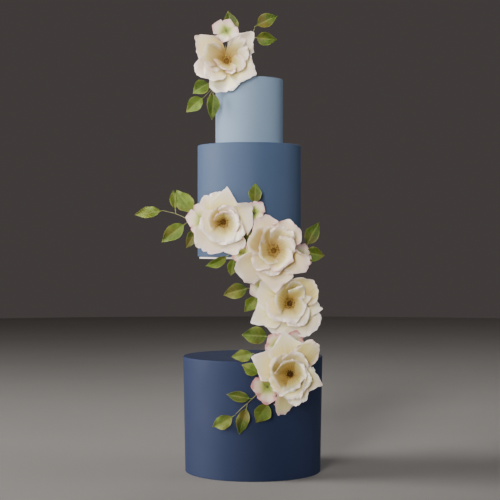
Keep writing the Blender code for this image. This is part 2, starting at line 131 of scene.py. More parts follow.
ROSE_LEFT = [
    Petal(113, 44, 42, 26, 0, 12, SQUARE, 0.04, 0, 0, 0, 0, 1.0, 0.3, 1.2),
    Petal(84, 53, 44, 34, 8, 16, SPEAR, 0, 0, -20),
    Petal(10, 44, 52, 34, 8, 24, SQUARE, 0.12, 10, 0, 0, 20),
    Petal(302, 49, 44, 34, 6, 24, BLUNT, -0.12, 10, 0, 0, 80),
    Petal(233, 51, 54, 30, 0, 16, BLUNT, -0.04, 0, 20),
    Petal(184, 36, 40, 38, 20, 24, ROUND, 0, 0, -40),
    Petal(60, 33, 34, 38, 58, 32, ROUND, 0.0, 9, -60, 0, 0, 1.4, 0.8),
    Petal(322, 42, 36, 30, 56, 28, BLUNT, 0.0, 9, -60, 0, 0, 1.4),
    Petal(150, 31, 40, 44, 62, 36, ROUND, 0.0, 9, -50, 0, 0, 1.2, 0.3, 2.0),
    Petal(282, 37, 38, 28, 54, 26, BLUNT, 0.0, 9, -60, 0, 0, 1.4),
    Petal(232, 36, 40, 28, 52, 26, ROUND, 0.0, 9, -50, 0, 0, 1.4),
    Petal(8, 36, 34, 38, 80, 32, BLUNT, 0.0, 9, -70, 0, 0, 1.2, 0.8),
    Petal(50, 30, 30, 44, 88, 34, ROUND, 0.0, 9, -60, 0, 0, 1.0, 0.9),
    Petal(104, 27, 28, 48, 88, 34, ROUND, 0.0, 9, -60, 0, 0, 1.0, 1.2, 1.4),
]
ROSE_MIDDLE = [
    Petal(112, 54, 44, 34, 8, 22, BLUNT, -0.04, 0, 30, 0, 0, 1.0, 0.8),
    Petal(54, 52, 48, 34, 8, 22, BLUNT, -0.06, 0, 40, 0, 0, 1.0, 0.9),
    Petal(215, 62, 48, 28, 4, 14, SQUARE, 0, -22),
    Petal(272, 60, 54, 28, 0, 14, KITE, 0.05, 0, 0, 0, 0, 1.0, 0.8),
    Petal(334, 56, 42, 32, 8, 24, BLUNT, 0.0, 10, 0, 0, 60, 1.2, 0.8),
    Petal(148, 48, 42, 38, 44, 32, SQUARE, 0.0, 10, -20, 0, 0, 1.2, 0.3, 2.0),
    Petal(100, 44, 34, 36, 54, 30, ROUND, 0.0, 9, -60, 0, 0, 1.6, 0.5, 1.7),
    Petal(62, 47, 36, 34, 60, 32, SQUARE, -0.04, 9, -80, 0, 0, 1.6, 0.6, 1.2),
    Petal(222, 42, 34, 26, 48, 28, ROUND, 0.0, 9, -50, 0, 0, 1.8),
    Petal(22, 40, 34, 34, 62, 32, ROUND, 0.0, 9, -80, 0, 0, 1.4, 0.8),
    Petal(264, 40, 42, 20, 52, 28, ROUND, 0.0, 9, -50, 0, 0, 1.4),
    Petal(188, 34, 36, 36, 84, 34, ROUND, 0.0, 9, -60, 0, 0, 1.2, 0.3, 1.5),
    Petal(232, 30, 32, 34, 78, 34, ROUND, 0.0, 9, -60, 0, 0, 1.2, 0.3, 1.5),
    Petal(312, 38, 42, 30, 76, 36, SQUARE, 0.0, 9, -110, 0, 0, 1.2, 1.2),
]
ROSE_GAP = [
    # Its stronger root stain paints the shade inside this deep cup.
    Petal(46, 58, 54, 46, 34, 50, BLUNT, 0.0, 10, 30, 0, 0, 1.0, 0.3, 1.7),
    Petal(311, 54, 46, 28, 0, 16, SQUARE, -0.02, 0, 20),
    Petal(254, 49, 48, 30, 2, 18, SQUARE, -0.06, 0, 20),
    Petal(206, 64, 50, 28, 0, 16, KITE),
    Petal(154, 53, 52, 32, 6, 24, BLUNT, 0, 0, 30),
    Petal(350, 49, 40, 32, 8, 28, KITE, 0.0, 10, 20),
    Petal(92, 46, 44, 40, 60, 34, BLUNT, 0.0, 9, -20, 0, 0, 1.0, 0.3, 1.5),
    Petal(208, 42, 42, 28, 52, 28, BLUNT, 0.0, 9, -60, 0, 0, 1.6),
    Petal(54, 50, 28, 52, 54, 36, SPEAR, 0.0, 14, 0, 0, 0, 1.0, 0.3, 1.3),
    Petal(302, 42, 40, 26, 54, 28, ROUND, 0.0, 9, -70, 0, 0, 1.6),
    Petal(16, 40, 28, 30, 62, 36, SPEAR, 0.0, 9, -20),
    Petal(258, 36, 44, 30, 68, 30, SQUARE, 0.0, 9, -70, 0, 0, 1.6),
    Petal(336, 32, 34, 34, 72, 32, BLUNT, 0.0, 9, -40, 0, 0, 1.2),
    Petal(156, 38, 44, 40, 82, 36, ROUND, 0.0, 9, -70, 0, 0, 1.2, 0.3, 1.3),
]
ROSE_LOW = [
    # Its stronger stain and pinker rim paint the shade that lies on this upper right petal.
    Petal(51, 58, 38, 28, -2, 16, BLUNT, -0.02, 22, 0, 0, 0, 1.0, 0.8, 1.4),
    Petal(98, 62, 54, 30, 4, 20, KITE, -0.02),
    Petal(156, 61, 52, 32, 8, 18, KITE),
    Petal(342, 50, 40, 34, 8, 26, KITE, 0, 8),
    Petal(292, 46, 34, 36, 12, 30, SQUARE, -0.04, 6),
    # Its stronger stain and pinker rim paint the greyish pink shade on this hanging lower petal.
    Petal(258, 60, 34, 12, -32, 14, BLUNT, 0.0, -34, 0, 0, 0, 1.0, 1.5, 1.3),
    Petal(66, 42, 42, 30, 64, 36, ROUND, 0.0, 9, -90, 0, 0, 1.4),
    Petal(142, 42, 40, 34, 66, 34, ROUND, 0.0, 9, -70, 0, 0, 1.4),
    Petal(284, 43, 44, 26, 58, 32, ROUND, 0.0, 9, -100, 0, 0, 1.6, 0.6),
    Petal(336, 41, 38, 32, 62, 34, ROUND, 0.0, 9, -70, 0, 0, 1.4),
    Petal(238, 43, 42, 30, 74, 36, BLUNT, 0.0, 9, -50),
    Petal(20, 36, 42, 38, 80, 38, ROUND, 0.0, 9, -60, 0, 0, 1.2),
    Petal(186, 42, 48, 40, 82, 40, ROUND, 0.0, 9, -60, 0, 0, 1.2, 0.3, 1.9),
    Petal(290, 34, 40, 36, 78, 36, ROUND, 0.0, 9, -60, 0, 0, 1.2),
    Petal(104, 34, 48, 44, 88, 42, ROUND, 0.0, 9, -60, 0, 0, 1.2, 0.3, 1.8),
]
ROSES = {
    "rose_top": Flower((0.51, 0.68, 0.52), 0, -8, ROSE_TOP, (6.3, 18, -21), 0.5, 30, 0.2, 0.35),
    "rose_left": Flower((0.49, 0.77, 0.53), 0, -1, ROSE_LEFT, (1.4, 9.4, -0.3), 0.5, 34, 0.5, 0.4),
    # rose_middle's heavy dusty pink is painted pinkish shade over the whole rose as well as pink dust.
    "rose_middle": Flower((0.53, 0.76, 0.525), 0, 0, ROSE_MIDDLE, (-1.1, 11.4, 2), 0.62, 40, 0.3, 1.1),
    "rose_gap": Flower((0.51, 0.43, 0.56), 0, 3, ROSE_GAP, (-11.8, 42.8, -3.4), 0.55, 34, 0.8, 0.2),
    "rose_low": Flower((0.54, 0.71, 0.49), -4, 5, ROSE_LOW, (-3.6, 14, -1.6), 0.6, 20, 1.0),
}

# A small blossom's four petals: each one's length as a share of the blossom's size, and its lead.
FLORET_PETALS = ((1.06, 0.06), (0.94, -0.08), (1.0, 0.04), (0.84, 0.08))
FLORET_WIDTH = 1.12
FLORET_END = Cut(0.36, 0.0, 1.3)


def floret(turn, size, openness, blush):
    """The four petals of a small blossom; openness 1 is flat, 0 is half shut."""
    base = 50 - 30 * openness
    tip = 40 - 36 * openness
    step = 360 / len(FLORET_PETALS)
    petals = []
    for index, (share, lead) in enumerate(FLORET_PETALS):
        length = size * share
        petals.append(
            Petal(
                turn + step * index, length, FLORET_WIDTH * length, base, tip, 18,
                FLORET_END, lead, 8, 0, 0, 0, 1.0, blush,
            )
        )
    return petals


FLORETS = {
    "floret_top": Flower((0.49, 0.6, 0.785), 0, -6, floret(158, 20, 1.0, 1.0), (10.4, 10, -69.7), 0.5, 5, 0),
    "floret_left": Flower((0.55, 0.55, 0.51), -14, 0, floret(80, 25, 1.0, 1.2), (12.8, 14, -2.3), 0.5, 5, 0),
    "floret_inner": Flower((0.4, 1.0, 0.46), -8, 0, floret(50, 19, 0.6, 1.2), (-1.3, 6.1, -1), 0.5, 5, 0),
    "floret_under": Flower((0.51, 0.95, 0.55), 0, -4, floret(20, 18, 0.5, 1.8), (1.6, 2.8, 2), 0.5, 5, 0),
    "floret_right": Flower((0.43, 0.7, 0.51), 14, 0, floret(70, 22, 1.0, 1.2), (-13, 5.5, 6.5), 0.5, 5, 0),
    "floret_gap": Flower((0.55, 0.27, 0.49), -10, 0, floret(30, 20, 1.0, 0.9), (15.5, 34.5, -4), 0.5, 5, 0),
    "floret_low_left": Flower((0.55, 0.48, 0.56), -6, 6, floret(40, 20, 0.7, 1.8), (2.4, 15, -21), 0.5, 5, 0),
    "floret_low_right": Flower((0.46, 0.56, 0.53), 6, 4, floret(75, 20, 0.7, 2.4), (-4, 10, -20), 0.5, 5, 0),
    "floret_low_outer": Flower((0.46, 0.77, 0.51), 9, 0, floret(86, 25, 1.0, 2.2), (1, 3.8, -1), 0.5, 5, 0),
}

# A leaf: heading, lean, length, width, roll and droop, the way from its stalk's end to the end of
# its wire, and its tint (0 dark, 1 light).
Leaf = namedtuple("Leaf", "heading lean length width roll droop wire tint")

LEAVES = {
    "leaf_top_right_upper": Leaf(27, 6, 37, 23, -10, 12, (-1.8, 0, -1.7), 0.35),
    "leaf_top_right_lower": Leaf(-9, 10, 34, 21, 12, 14, (-3.6, 1.4, 1), 0.35),
    "leaf_top_back": Leaf(104, 3, 42, 23, 0, 8, (4, 3, -62), 0.3),
    "leaf_top_left": Leaf(210, 12, 30, 24, 10, 14, (25.5, 1, 19), 0.6),
    "leaf_top_left_low": Leaf(218, 10, 35, 22, 8, 14, (35.5, -3, 37), 0.7),
    "leaf_top_small": Leaf(272, 4, 22, 11, 0, 6, (25.5, 0, 34.5), 0.5),
    "leaf_top_hanging": Leaf(268, 8, 42, 20, -12, 10, (17.7, 3, 32), 0.4),
    "leaf_sprig_far": Leaf(187, 5, 43, 18, 6, 12, (0.8, -0.1, -0.2), 0.8),
    "leaf_sprig_thin": Leaf(97, -6, 31, 14, 0, 6, (0.6, -3, -4.3), 0.6),
    "leaf_sprig_round": Leaf(129, 8, 44, 27, -8, 10, (-5.4, -4, -8), 0.9),
    "leaf_sprig_low": Leaf(216, 5, 47, 24, 8, 14, (6.8, -1.4, 3), 0.6),
    "leaf_left_dark": Leaf(234, 3, 34, 18, 10, 10, (-1.6, 4, 7.7), 0.1),
    "leaf_left_upper": Leaf(88, 5, 32, 20, 0, 12, (0.6, 4.7, -9), 0.5),
    "leaf_right_upper": Leaf(63, 7, 41, 22, -8, 12, (-16.2, 13.4, -4), 0.3),
    "leaf_right_lower": Leaf(347, 13, 31, 24, 10, 12, (-15.4, 10.6, -1.7), 0.5),
    "leaf_under_curled": Leaf(217, 9, 39, 16, -25, 26, (3.4, 9, 7), 0.7),
    "leaf_under_left": Leaf(259, 8, 28, 16, 0, 14, (3.2, 4.4, 8), 0.5),
    "leaf_between": Leaf(260, 1, 31, 18, 0, 8, (-0.6, 7.6, 8), 0.1),
    "leaf_gap_left": Leaf(193, 9, 40, 24, 10, 14, (35.5, 36.5, -8), 0.4),
    "leaf_gap_low": Leaf(232, 12, 30, 20, -8, 12, (23.5, 35.5, -4), 0.7),
    "leaf_gap_bottom": Leaf(175, 8, 41, 27, 8, 14, (10.2, 55.4, -2.6), 0.5),
    "leaf_rim_left": Leaf(190, 4, 33, 19, -8, 10, (5, 15, -10.6), 0.9),
    "leaf_front_left": Leaf(153, 4, 29, 20, 6, 8, (4.3, 6.6, 0), 0.8),
    "leaf_spray_left": Leaf(170, 0, 37, 17, 6, 8, (2, -0.2, 1.4), 0.4),
    "leaf_spray_far": Leaf(210, -10, 38, 22, -6, 8, (1.4, 1, 0.9), 0.95),
    "leaf_spray_middle": Leaf(254, 2, 43, 20, 8, 8, (0.3, -0.4, 3.5), 0.3),
    "leaf_spray_right": Leaf(239, 6, 35, 26, -6, 10, (-1.2, 5.8, 10.6), 0.7),
}


# ---------------------------------------------------------------------------------------------------
# Small tools


def smooth(low, high, value):
    """0 below low, 1 above high and an even S between them; high may be below low."""
    t = np.clip((np.asarray(value, float) - low) / (high - low), 0.0, 1.0)
    return t * t * (3 - 2 * t)


def ripple(place, chance, slow, fast, count=4):
    """Gentle uneven waves along place, between about -1 and 1; slow and fast bound their pace."""
    total = 0.0
    for _ in range(count):
        pace = chance.uniform(slow, fast)
        phase = chance.uniform(0, 2 * math.pi)
        total = total + np.sin(2 * math.pi * pace * place + phase)
    return total / math.sqrt(2 * count)


class Body:
    """Points, faces and point colours of one piece, gathered part by part."""

    def __init__(self):
        self.points = []
        self.faces = []
        self.shades = []
        self.grains = []
        self.count = 0

    def add(self, points, faces, shade, grain):
        points = np.asarray(points, float).reshape(-1, 3)
        self.points.append(points)
        self.faces.append(np.asarray(faces, int) + self.count)
        self.shades.append(np.broadcast_to(np.asarray(shade, float), (len(points), 4)))
        self.grains.append(np.broadcast_to(np.asarray(grain, float), (len(points), 4)))
        self.count += len(points)


def unit(vectors):
    return vectors / np.maximum(np.linalg.norm(vectors, axis=-1, keepdims=True), 1e-9)


def sheet_normals(grid):
    """The way each point of a grid (rows, columns, 3) faces."""
    return unit(np.cross(np.gradient(grid, axis=0), np.gradient(grid, axis=1)))


def add_sheet(body, grid, thickness, shade, grain):
    """A closed thin sheet around the grid: a front, a back and the rim that joins them."""
    rows, columns = grid.shape[:2]
    half = sheet_normals(grid) * thickness[..., None] / 2
    points = np.concatenate([(grid + half).reshape(-1, 3), (grid - half).reshape(-1, 3)])
    front = np.arange(rows * columns).reshape(rows, columns)
    back = front + rows * columns

    def quads(a, b, c, d):
        return np.stack([a.ravel(), b.ravel(), c.ravel(), d.ravel()], axis=1)

    faces = np.concatenate(
        [
            quads(front[:-1, :-1], front[1:, :-1], front[1:, 1:], front[:-1, 1:]),
            quads(back[:-1, :-1], back[:-1, 1:], back[1:, 1:], back[1:, :-1]),
            quads(front[0, :-1], front[0, 1:], back[0, 1:], back[0, :-1]),
            quads(front[-1, 1:], front[-1, :-1], back[-1, :-1], back[-1, 1:]),
            quads(front[1:, 0], front[:-1, 0], back[:-1, 0], back[1:, 0]),
            quads(front[:-1, -1], front[1:, -1], back[1:, -1], back[:-1, -1]),
        ]
    )
    both = [np.tile(values.reshape(-1, 4), (2, 1)) for values in (shade, grain)]
    body.add(points, faces, *both)


def add_tube(body, path, radii, sides, shade, grain=(0, 0, 0, 0)):
    """A closed tube of quads along a path, each end capped with a point in its middle."""
    path = np.asarray(path, float)
    radii = np.asarray(radii, float)
    ahead = unit(np.gradient(path, axis=0))
    aside = unit(np.cross(ahead, np.array([0.31, 0.17, 0.93])))
    above = np.cross(ahead, aside)
    turn = 2 * math.pi * np.arange(sides) / sides
    rings = path[:, None] + radii[:, None, None] * (
        aside[:, None] * np.cos(turn)[None, :, None] + above[:, None] * np.sin(turn)[None, :, None]
    )
    count = len(path)
    points = np.concatenate([rings.reshape(-1, 3), path[:1], path[-1:]])
    index = np.arange(count * sides).reshape(count, sides)
    after = np.roll(index, -1, axis=1)
    walls = np.stack(
        [index[:-1].ravel(), after[:-1].ravel(), after[1:].ravel(), index[1:].ravel()], axis=1
    )
    start, end = count * sides, count * sides + 1
    first = np.stack([after[0], index[0], np.full(sides, start), np.full(sides, start)], axis=1)
    last = np.stack([index[-1], after[-1], np.full(sides, end), np.full(sides, end)], axis=1)
    if np.ndim(shade) == 2:
        shade = np.concatenate([np.repeat(shade, sides, axis=0), shade[:1], shade[-1:]])
    body.add(points, np.concatenate([walls, first, last]), shade, grain)


def moved(grid, matrix):
    """The grid's points put through a 4 x 4 matrix."""
    table = np.array(matrix)
    return grid @ table[:3, :3].T + table[:3, 3]


def put_piece(name, body, material, sharp=50.0, replaces=()):
    """Make the gathered body an object in metres that rides on the cake."""
    mesh = bpy.data.meshes.new(name)
    points = np.concatenate(body.points) * MM
    faces = [tuple(dict.fromkeys(face)) for face in np.concatenate(body.faces).tolist()]
    mesh.from_pydata(points.tolist(), [], faces)
    for label, values in (("shade", body.shades), ("grain", body.grains)):
        layer = mesh.color_attributes.new(label, "FLOAT_COLOR", "POINT")
        layer.data.foreach_set("color", np.concatenate(values).ravel())
    mesh.shade_smooth()
    mesh.set_sharp_from_angle(angle=math.radians(sharp))
    mesh.materials.append(material)
    piece = bpy.data.objects.new(name, mesh)
    bpy.context.scene.collection.objects.link(piece)
    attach(piece, BODY)
    if replaces:
        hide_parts(*replaces)
    return piece


def node_shift(node, plain):
    """How far to move points so that the plain shape's box lies where the CAD node's box is."""
    low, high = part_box(node)
    middle = (np.array(low) + np.array(high)) / (2 * MM)
    return middle - (plain.min(axis=0) + plain.max(axis=0)) / 2


# ---------------------------------------------------------------------------------------------------
# Flowers


def width_share(along):
    """A petal's width along its length, as a share of its greatest width: a fan from a narrow claw."""
    spread = np.sin(np.pi / 2 * np.minimum(1.0, along / FAN_REACH)) ** FAN_CURVE
    return PETAL_CLAW + (1 - PETAL_CLAW) * spread


def petal_middle(petal, distance, curl):
    """Out, forward and rise of the petal's middle line, whose tip curls forward by curl degrees."""
    steps = np.linspace(0, 1.2 * petal.length, 90)
    share = steps / petal.length
    rise = petal.rise_base + (petal.rise_tip - petal.rise_base) * share
    rise = np.radians(rise + curl * np.clip((share - CURL_START) / (1 - CURL_START), 0, 1.3) ** 1.6)
    step = np.diff(steps, prepend=0)
    out = np.cumsum(np.cos(rise) * step)
    forward = np.cumsum(np.sin(rise) * step)
    return (
        np.interp(distance, steps, out),
        np.interp(distance, steps, forward),
        np.interp(distance, steps, rise),
    )


def petal_section(petal, along, across, half):
    """How far each point lies aside from and above the middle line, across a cupped petal."""
    bend = np.radians(petal.cup) * (CUP_AT_ROOT - CUP_LOSS * along) * across
    side = np.where(across > 0, petal.counter, petal.clockwise)
    amount = smooth(SIDE_START, SIDE_END, np.abs(across))
    bend = bend + np.sign(across) * np.radians(side) * amount * smooth(0.2, 0.6, along)
    step = np.diff(across, axis=1)
    centre = across.shape[1] // 2

    def run(slope):
        total = np.cumsum((slope[:, 1:] + slope[:, :-1]) / 2 * step, axis=1)
        total = np.concatenate([np.zeros((len(slope), 1)), total], axis=1)
        return half * (total - total[:, centre : centre + 1])

    return run(np.cos(bend)), run(np.sin(bend))


def petal_end(petal, across, chance):
    """How far the petal reaches along each line of its length: its end, wavy, with a nick or two."""
    slope = np.clip((np.abs(across) - petal.end.flat) / (1 - petal.end.flat), 0, 1)
    share = 1.0 - petal.end.depth * slope ** petal.end.roundness + petal.lead * across
    share = share + 0.01 * ripple(across, chance, 0.5, 1.6)
    share = share + 0.006 * ripple(across, chance, 2.5, 5.0)
    for _ in range(chance.choice((0, 1, 1, 2))):
        place = chance.uniform(-0.6, 0.6)
        share = share - chance.uniform(0.02, 0.05) * np.exp(-(((across - place) / 0.09) ** 2))
    return share


def petal_grid(petal, root, grid, seat, chance):
    """The petal's sheet in its flower's frame, with its curls and its uneven edge."""
    rows, columns = grid
    along = np.linspace(0, 1, rows + 1)[:, None] + np.zeros((1, columns + 1))
    across = np.linspace(-1, 1, columns + 1)[None, :] + np.zeros((rows + 1, 1))
    share = petal_end(petal, across, chance)
    half = 0.5 * petal.width * width_share(along)
    wander = ripple(along + 3 * (across > 0), chance, 0.6, 2.2)
    half = half * (1 + 0.03 * smooth(0.3, 0.8, along) * wander)
    distance = petal.length * along * (1 + (share - 1) * along ** 2)
    out, forward, rise = petal_middle(petal, distance, petal.curl)
    side, lift = petal_section(petal, along, across, half)
    roll = np.radians(petal.roll) * np.minimum(1.0, 2 * along)
    side, lift = (
        side * np.cos(roll) - lift * np.sin(roll),
        side * np.sin(roll) + lift * np.cos(roll),
    )
    out = out + root - lift * np.sin(rise)
    forward = forward + lift * np.cos(rise) - seat
    turn = math.radians(petal.turn)
    points = np.stack(
        [
            out * math.cos(turn) - side * math.sin(turn),
            out * math.sin(turn) + side * math.cos(turn),
            forward,
        ],
        axis=-1,
    )
    edge = np.minimum((1 - along) * petal.length, (1 - np.abs(across)) * half)
    rim = (1 - np.clip(edge / RIM_WIDTH, 0, 1)) * smooth(0.3, 0.6, along)
    relief = petal_relief(petal, along, across, rim, chance)
    points = points + sheet_normals(points) * relief[..., None]
    return points, along, across, rim


def petal_relief(petal, along, across, rim, chance):
    """Height of a petal's soft billows and of the ruffles along its rim, in millimetres."""
    size = petal.length / 50
    billow = 1.5 * size * smooth(0.15, 0.7, along) * ripple(across + 0.4 * along, chance, 0.3, 0.9)
    way = across * smooth(0, 1, along) + 0.6 * along
    broad = 1.6 * ripple(way, chance, 0.8, 1.6)
    narrow = 0.7 * ripple(way, chance, 2.5, 4.5)
    return billow + size * petal.ruffle * rim ** 1.4 * (broad + narrow)


def flower_turn(flower):
    """Turns a flower from its own frame to the way it faces on the cake."""
    return Matrix.Rotation(math.radians(flower.turn), 4, "Z") @ Matrix.Rotation(
        math.radians(90 - flower.tilt), 4, "X"
    )


def heart_place(name, flower):
    """Where the flower's heart lies, in millimetres."""
    low, high = (np.array(corner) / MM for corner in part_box(name))
    return low + np.array(flower.heart) * (high - low)


def add_petals(body, flower, root, grid, depth, shift, chance):
    """All the petals, each one seated a little in front of the one before it."""
    turned = flower_turn(flower)
    last = max(1, len(flower.petals) - 1)
    for index, petal in enumerate(flower.petals):
        own = random.Random(chance.random())
        seat = depth * (1 - index / last)
        points, along, across, rim = petal_grid(petal, root, grid, seat, own)
        streak = 0.05 * ripple(across, own, 2.0, 6.0) * smooth(0.05, 0.4, along)
        # How deep the root colour is; where a petal's stain is raised it also paints the shade on the bowl's walls.
        heart = 1 - smooth(0.05, 1.0, (along + streak) / (flower.stain * petal.stain * 1.85))
        # The dusty pink, heavier on the outer petals: partly pink dust, partly painted pinkish shade; the tone carries
        # it.
        dust = 0.6 * flower.dust * (1.4 - index / last)
        blush = rim ** 1.2 * (0.65 + 0.35 * ripple(across, own, 0.6, 1.5))
        blush = petal.blush * (0.2 * dust + blush)
        tone = np.full_like(along, dust + 0.4 * own.random())
        shade = np.stack([heart, rim, np.clip(blush, 0, 1), tone], axis=-1)
        grain = np.stack([along, across * width_share(along), tone, np.ones_like(along)], axis=-1)
        thickness = PETAL_RIM + (PETAL_MIDDLE - PETAL_RIM) * (1 - rim)
        add_sheet(body, moved(points, turned) + shift, thickness, shade, grain)


def add_bead(body, place, axis, size, length, shade, sides=6):
    """A small closed grain, such as an anther, as long as length along its axis."""
    place = np.asarray(place, float)
    heights = np.array([-0.5, -0.38, 0.0, 0.38, 0.5])
    radii = np.array([0.25, 0.75, 1.0, 0.75, 0.25]) * size
    add_tube(body, place + heights[:, None] * length * np.asarray(axis, float), radii, sides, shade)


def add_stamens(body, flower, shift, reach, chance):
    """A ring of curved filaments that spread from the middle, each with its anther."""
    turned = flower_turn(flower)
    for index in range(flower.stamens):
        turn = index * math.pi * (3 - math.sqrt(5))
        share = math.sqrt((index + 0.5) / flower.stamens)
        lean = math.radians(chance.uniform(34, 50) + 22 * share)
        length = reach * chance.uniform(0.65, 1.1)
        steps = np.linspace(0, 1, 6)
        angle = lean * (1.15 - 0.5 * steps)
        step = np.diff(steps, prepend=0) * length
        out = 2.6 + 0.8 * share + np.cumsum(np.sin(angle) * step)
        up = 1.5 + np.cumsum(np.cos(angle) * step)
        sway = turn + 0.2 * chance.uniform(-1, 1) * steps
        path = np.stack([out * np.cos(sway), out * np.sin(sway), up], axis=1)
        path = moved(path, turned) + shift
        shade = np.stack([0.15 + 0.25 * steps, steps, steps * 0, steps * 0 + chance.random()], axis=1)
        add_tube(body, path, np.linspace(0.26, 0.18, 6), 5, shade)
        axis = unit(path[-1] - path[-2] + 0.5 * np.array([chance.uniform(-1, 1) for _ in range(3)]))
        dark = chance.uniform(0.55, 0.8) + 0.2 * flower.dark
        add_bead(body, path[-1], axis, 0.5, 1.8, (dark, 1, 0, chance.random()))


def add_dome(body, flower, shift, radius, height, knobs, shades, chance):
    """The knobbly middle of a flower; shades are its depths of colour in the middle and outside."""
    turned = flower_turn(flower)
    for index in range(knobs):
        turn = index * math.pi * (3 - math.sqrt(5))
        share = math.sqrt((index + 0.5) / knobs)
        place = np.array(
            [
                radius * share * math.cos(turn),
                radius * share * math.sin(turn),
                2.0 + height * (1 - share ** 2),
            ]
        )
        axis = unit(np.array([place[0], place[1], 2.2 * radius]))
        size = chance.uniform(0.8, 1.1) * radius / math.sqrt(knobs) * 1.15
        table = np.array(turned)[:3, :3]
        depth = shades[0] + (shades[1] - shades[0]) * share
        add_bead(
            body, moved(place, turned) + shift, table @ axis, size, 3.6 * size,
            (depth, 0, 0, chance.random()),
        )


def add_hip(body, flower, shift, radius, depth):
    """The swollen green cup behind the petals, from which the wire runs."""
    turned = flower_turn(flower)
    steps = np.linspace(0, 1, 12)
    heights = -2.0 - depth * steps
    radii = radius * np.sqrt(np.clip(1 - (1.9 * steps - 0.55) ** 2 / 1.9, 0.02, 1)) * (1 - 0.35 * steps)
    path = np.stack([steps * 0, steps * 0, heights], axis=1)
    add_tube(body, moved(path, turned) + shift, radii, 24, (0.2, 0, 0, 0.4))


def add_sepals(body, flower, shift, length, width, count, chance):
    """Narrow pointed green sepals that lie against the backs of the petals."""
    turned = flower_turn(flower)
    for index in range(count):
        sepal = Petal(
            360 / count * (index + chance.uniform(-0.12, 0.12)) + 18, length * chance.uniform(0.9, 1.1),
            width, 24, 4, 20, Cut(0.75, 0.0, 1.0), 0.0, 0, 0, 0, 0, 0.5, 0,
        )
        points, along, across, rim = petal_grid(sepal, 0.5, (14, 8), SEAT_DEPTH + 2, chance)
        tone = np.full_like(along, chance.random())
        shade = np.stack([along * 0.3 + 0.2, rim * 0, rim * 0, tone], axis=-1)
        grain = np.stack([along, across, tone, np.ones_like(along)], axis=-1)
        add_sheet(body, moved(points, turned) + shift, 0.35 + 0.2 * (1 - rim), shade, grain)


def add_wire(body, start, end, radius, sag, chance):
    """A taped wire from start to end, a little bent on its way."""
    start, end = np.asarray(start, float), np.asarray(end, float)
    steps = np.linspace(0, 1, 14)[:, None]
    aside = np.array([chance.uniform(-1, 1), 0.0, chance.uniform(-1, 1)]) * sag
    path = start + (end - start) * steps + aside * np.sin(np.pi * steps)
    radii = radius * (1 + 0.08 * np.sin(steps[:, 0] * 40))
    add_tube(body, path, radii, 10, (0.35, 0, 0, chance.random()))


def add_floor(body, flower, shift, radius):
    """The shallow dish that the petals grow from, which closes the gaps between their roots."""
    turned = flower_turn(flower)
    out = np.linspace(0.05, 1, 8)[:, None] + np.zeros((1, 25))
    turn = np.linspace(0, 2 * math.pi, 25)[None, :] + np.zeros((8, 1))
    points = np.stack(
        [radius * out * np.cos(turn), radius * out * np.sin(turn), 2.0 * out ** 2 - 2.0], axis=-1
    )
    shade = np.stack([1.05 - 0.35 * out, out * 0, out * 0, out * 0 + 0.5], axis=-1)
    grain = np.stack([out, turn / 6.3, out * 0, out * 0], axis=-1)
    add_sheet(body, moved(points, turned) + shift, 0.5 + 0 * out, shade, grain)


def make_rose(name, flower, looks, seed):
    chance = random.Random(seed)
    shift = heart_place(name, flower)
    petals = Body()
    add_petals(petals, flower, ROSE_ROOT, ROSE_GRID, SEAT_DEPTH, shift, chance)
    add_floor(petals, flower, shift, 9.0)
    put_piece(name + "_petals", petals, looks["sugar_cream"], replaces=(name,))
    middle = Body()
    shades = (0.5 + 0.4 * flower.dark, 0.6 + 0.4 * flower.dark)
    add_dome(middle, flower, shift, 4.2, 2.4, 34, shades, chance)
    add_stamens(middle, flower, shift, 0.2 * flower.stamens, chance)
    put_piece(name + "_stamens", middle, looks["stamen"])
    back = Body()
    wire = np.array(flower.wire, float)
    add_hip(back, flower, shift, 5.0, min(8.0, np.linalg.norm(wire)))
    add_sepals(back, flower, shift, 22, 8, 5, chance)
    add_wire(back, shift, shift + wire, 1.1, 1.0, chance)
    put_piece(name + "_calyx", back, looks["twig_green"])


def make_floret(name, flower, looks, seed):
    chance = random.Random(seed)
    shift = heart_place(name, flower)
    petals = Body()
    add_petals(petals, flower, FLORET_ROOT, FLORET_GRID, FLORET_SEAT, shift, chance)
    put_piece(name + "_petals", petals, looks["sugar_pink"], replaces=(name,))
    back = Body()
    add_dome(back, flower, shift, 1.7, 1.2, 7, (0.3, 0.3), chance)
    add_hip(back, flower, shift, 2.0, 3.5)
    add_wire(back, shift, shift + np.array(flower.wire), 0.8, 1.0, chance)
    put_piece(name + "_stalk", back, looks["twig_green"])


# ---------------------------------------------------------------------------------------------------
# Leaves and stalks


def leaf_turn(leaf):
    return (
        Matrix.Rotation(math.radians(90), 4, "X")
        @ Matrix.Rotation(math.radians(leaf.heading), 4, "Z")
        @ Matrix.Rotation(math.radians(-leaf.lean), 4, "Y")
        @ Matrix.Rotation(math.radians(leaf.roll), 4, "X")
    )


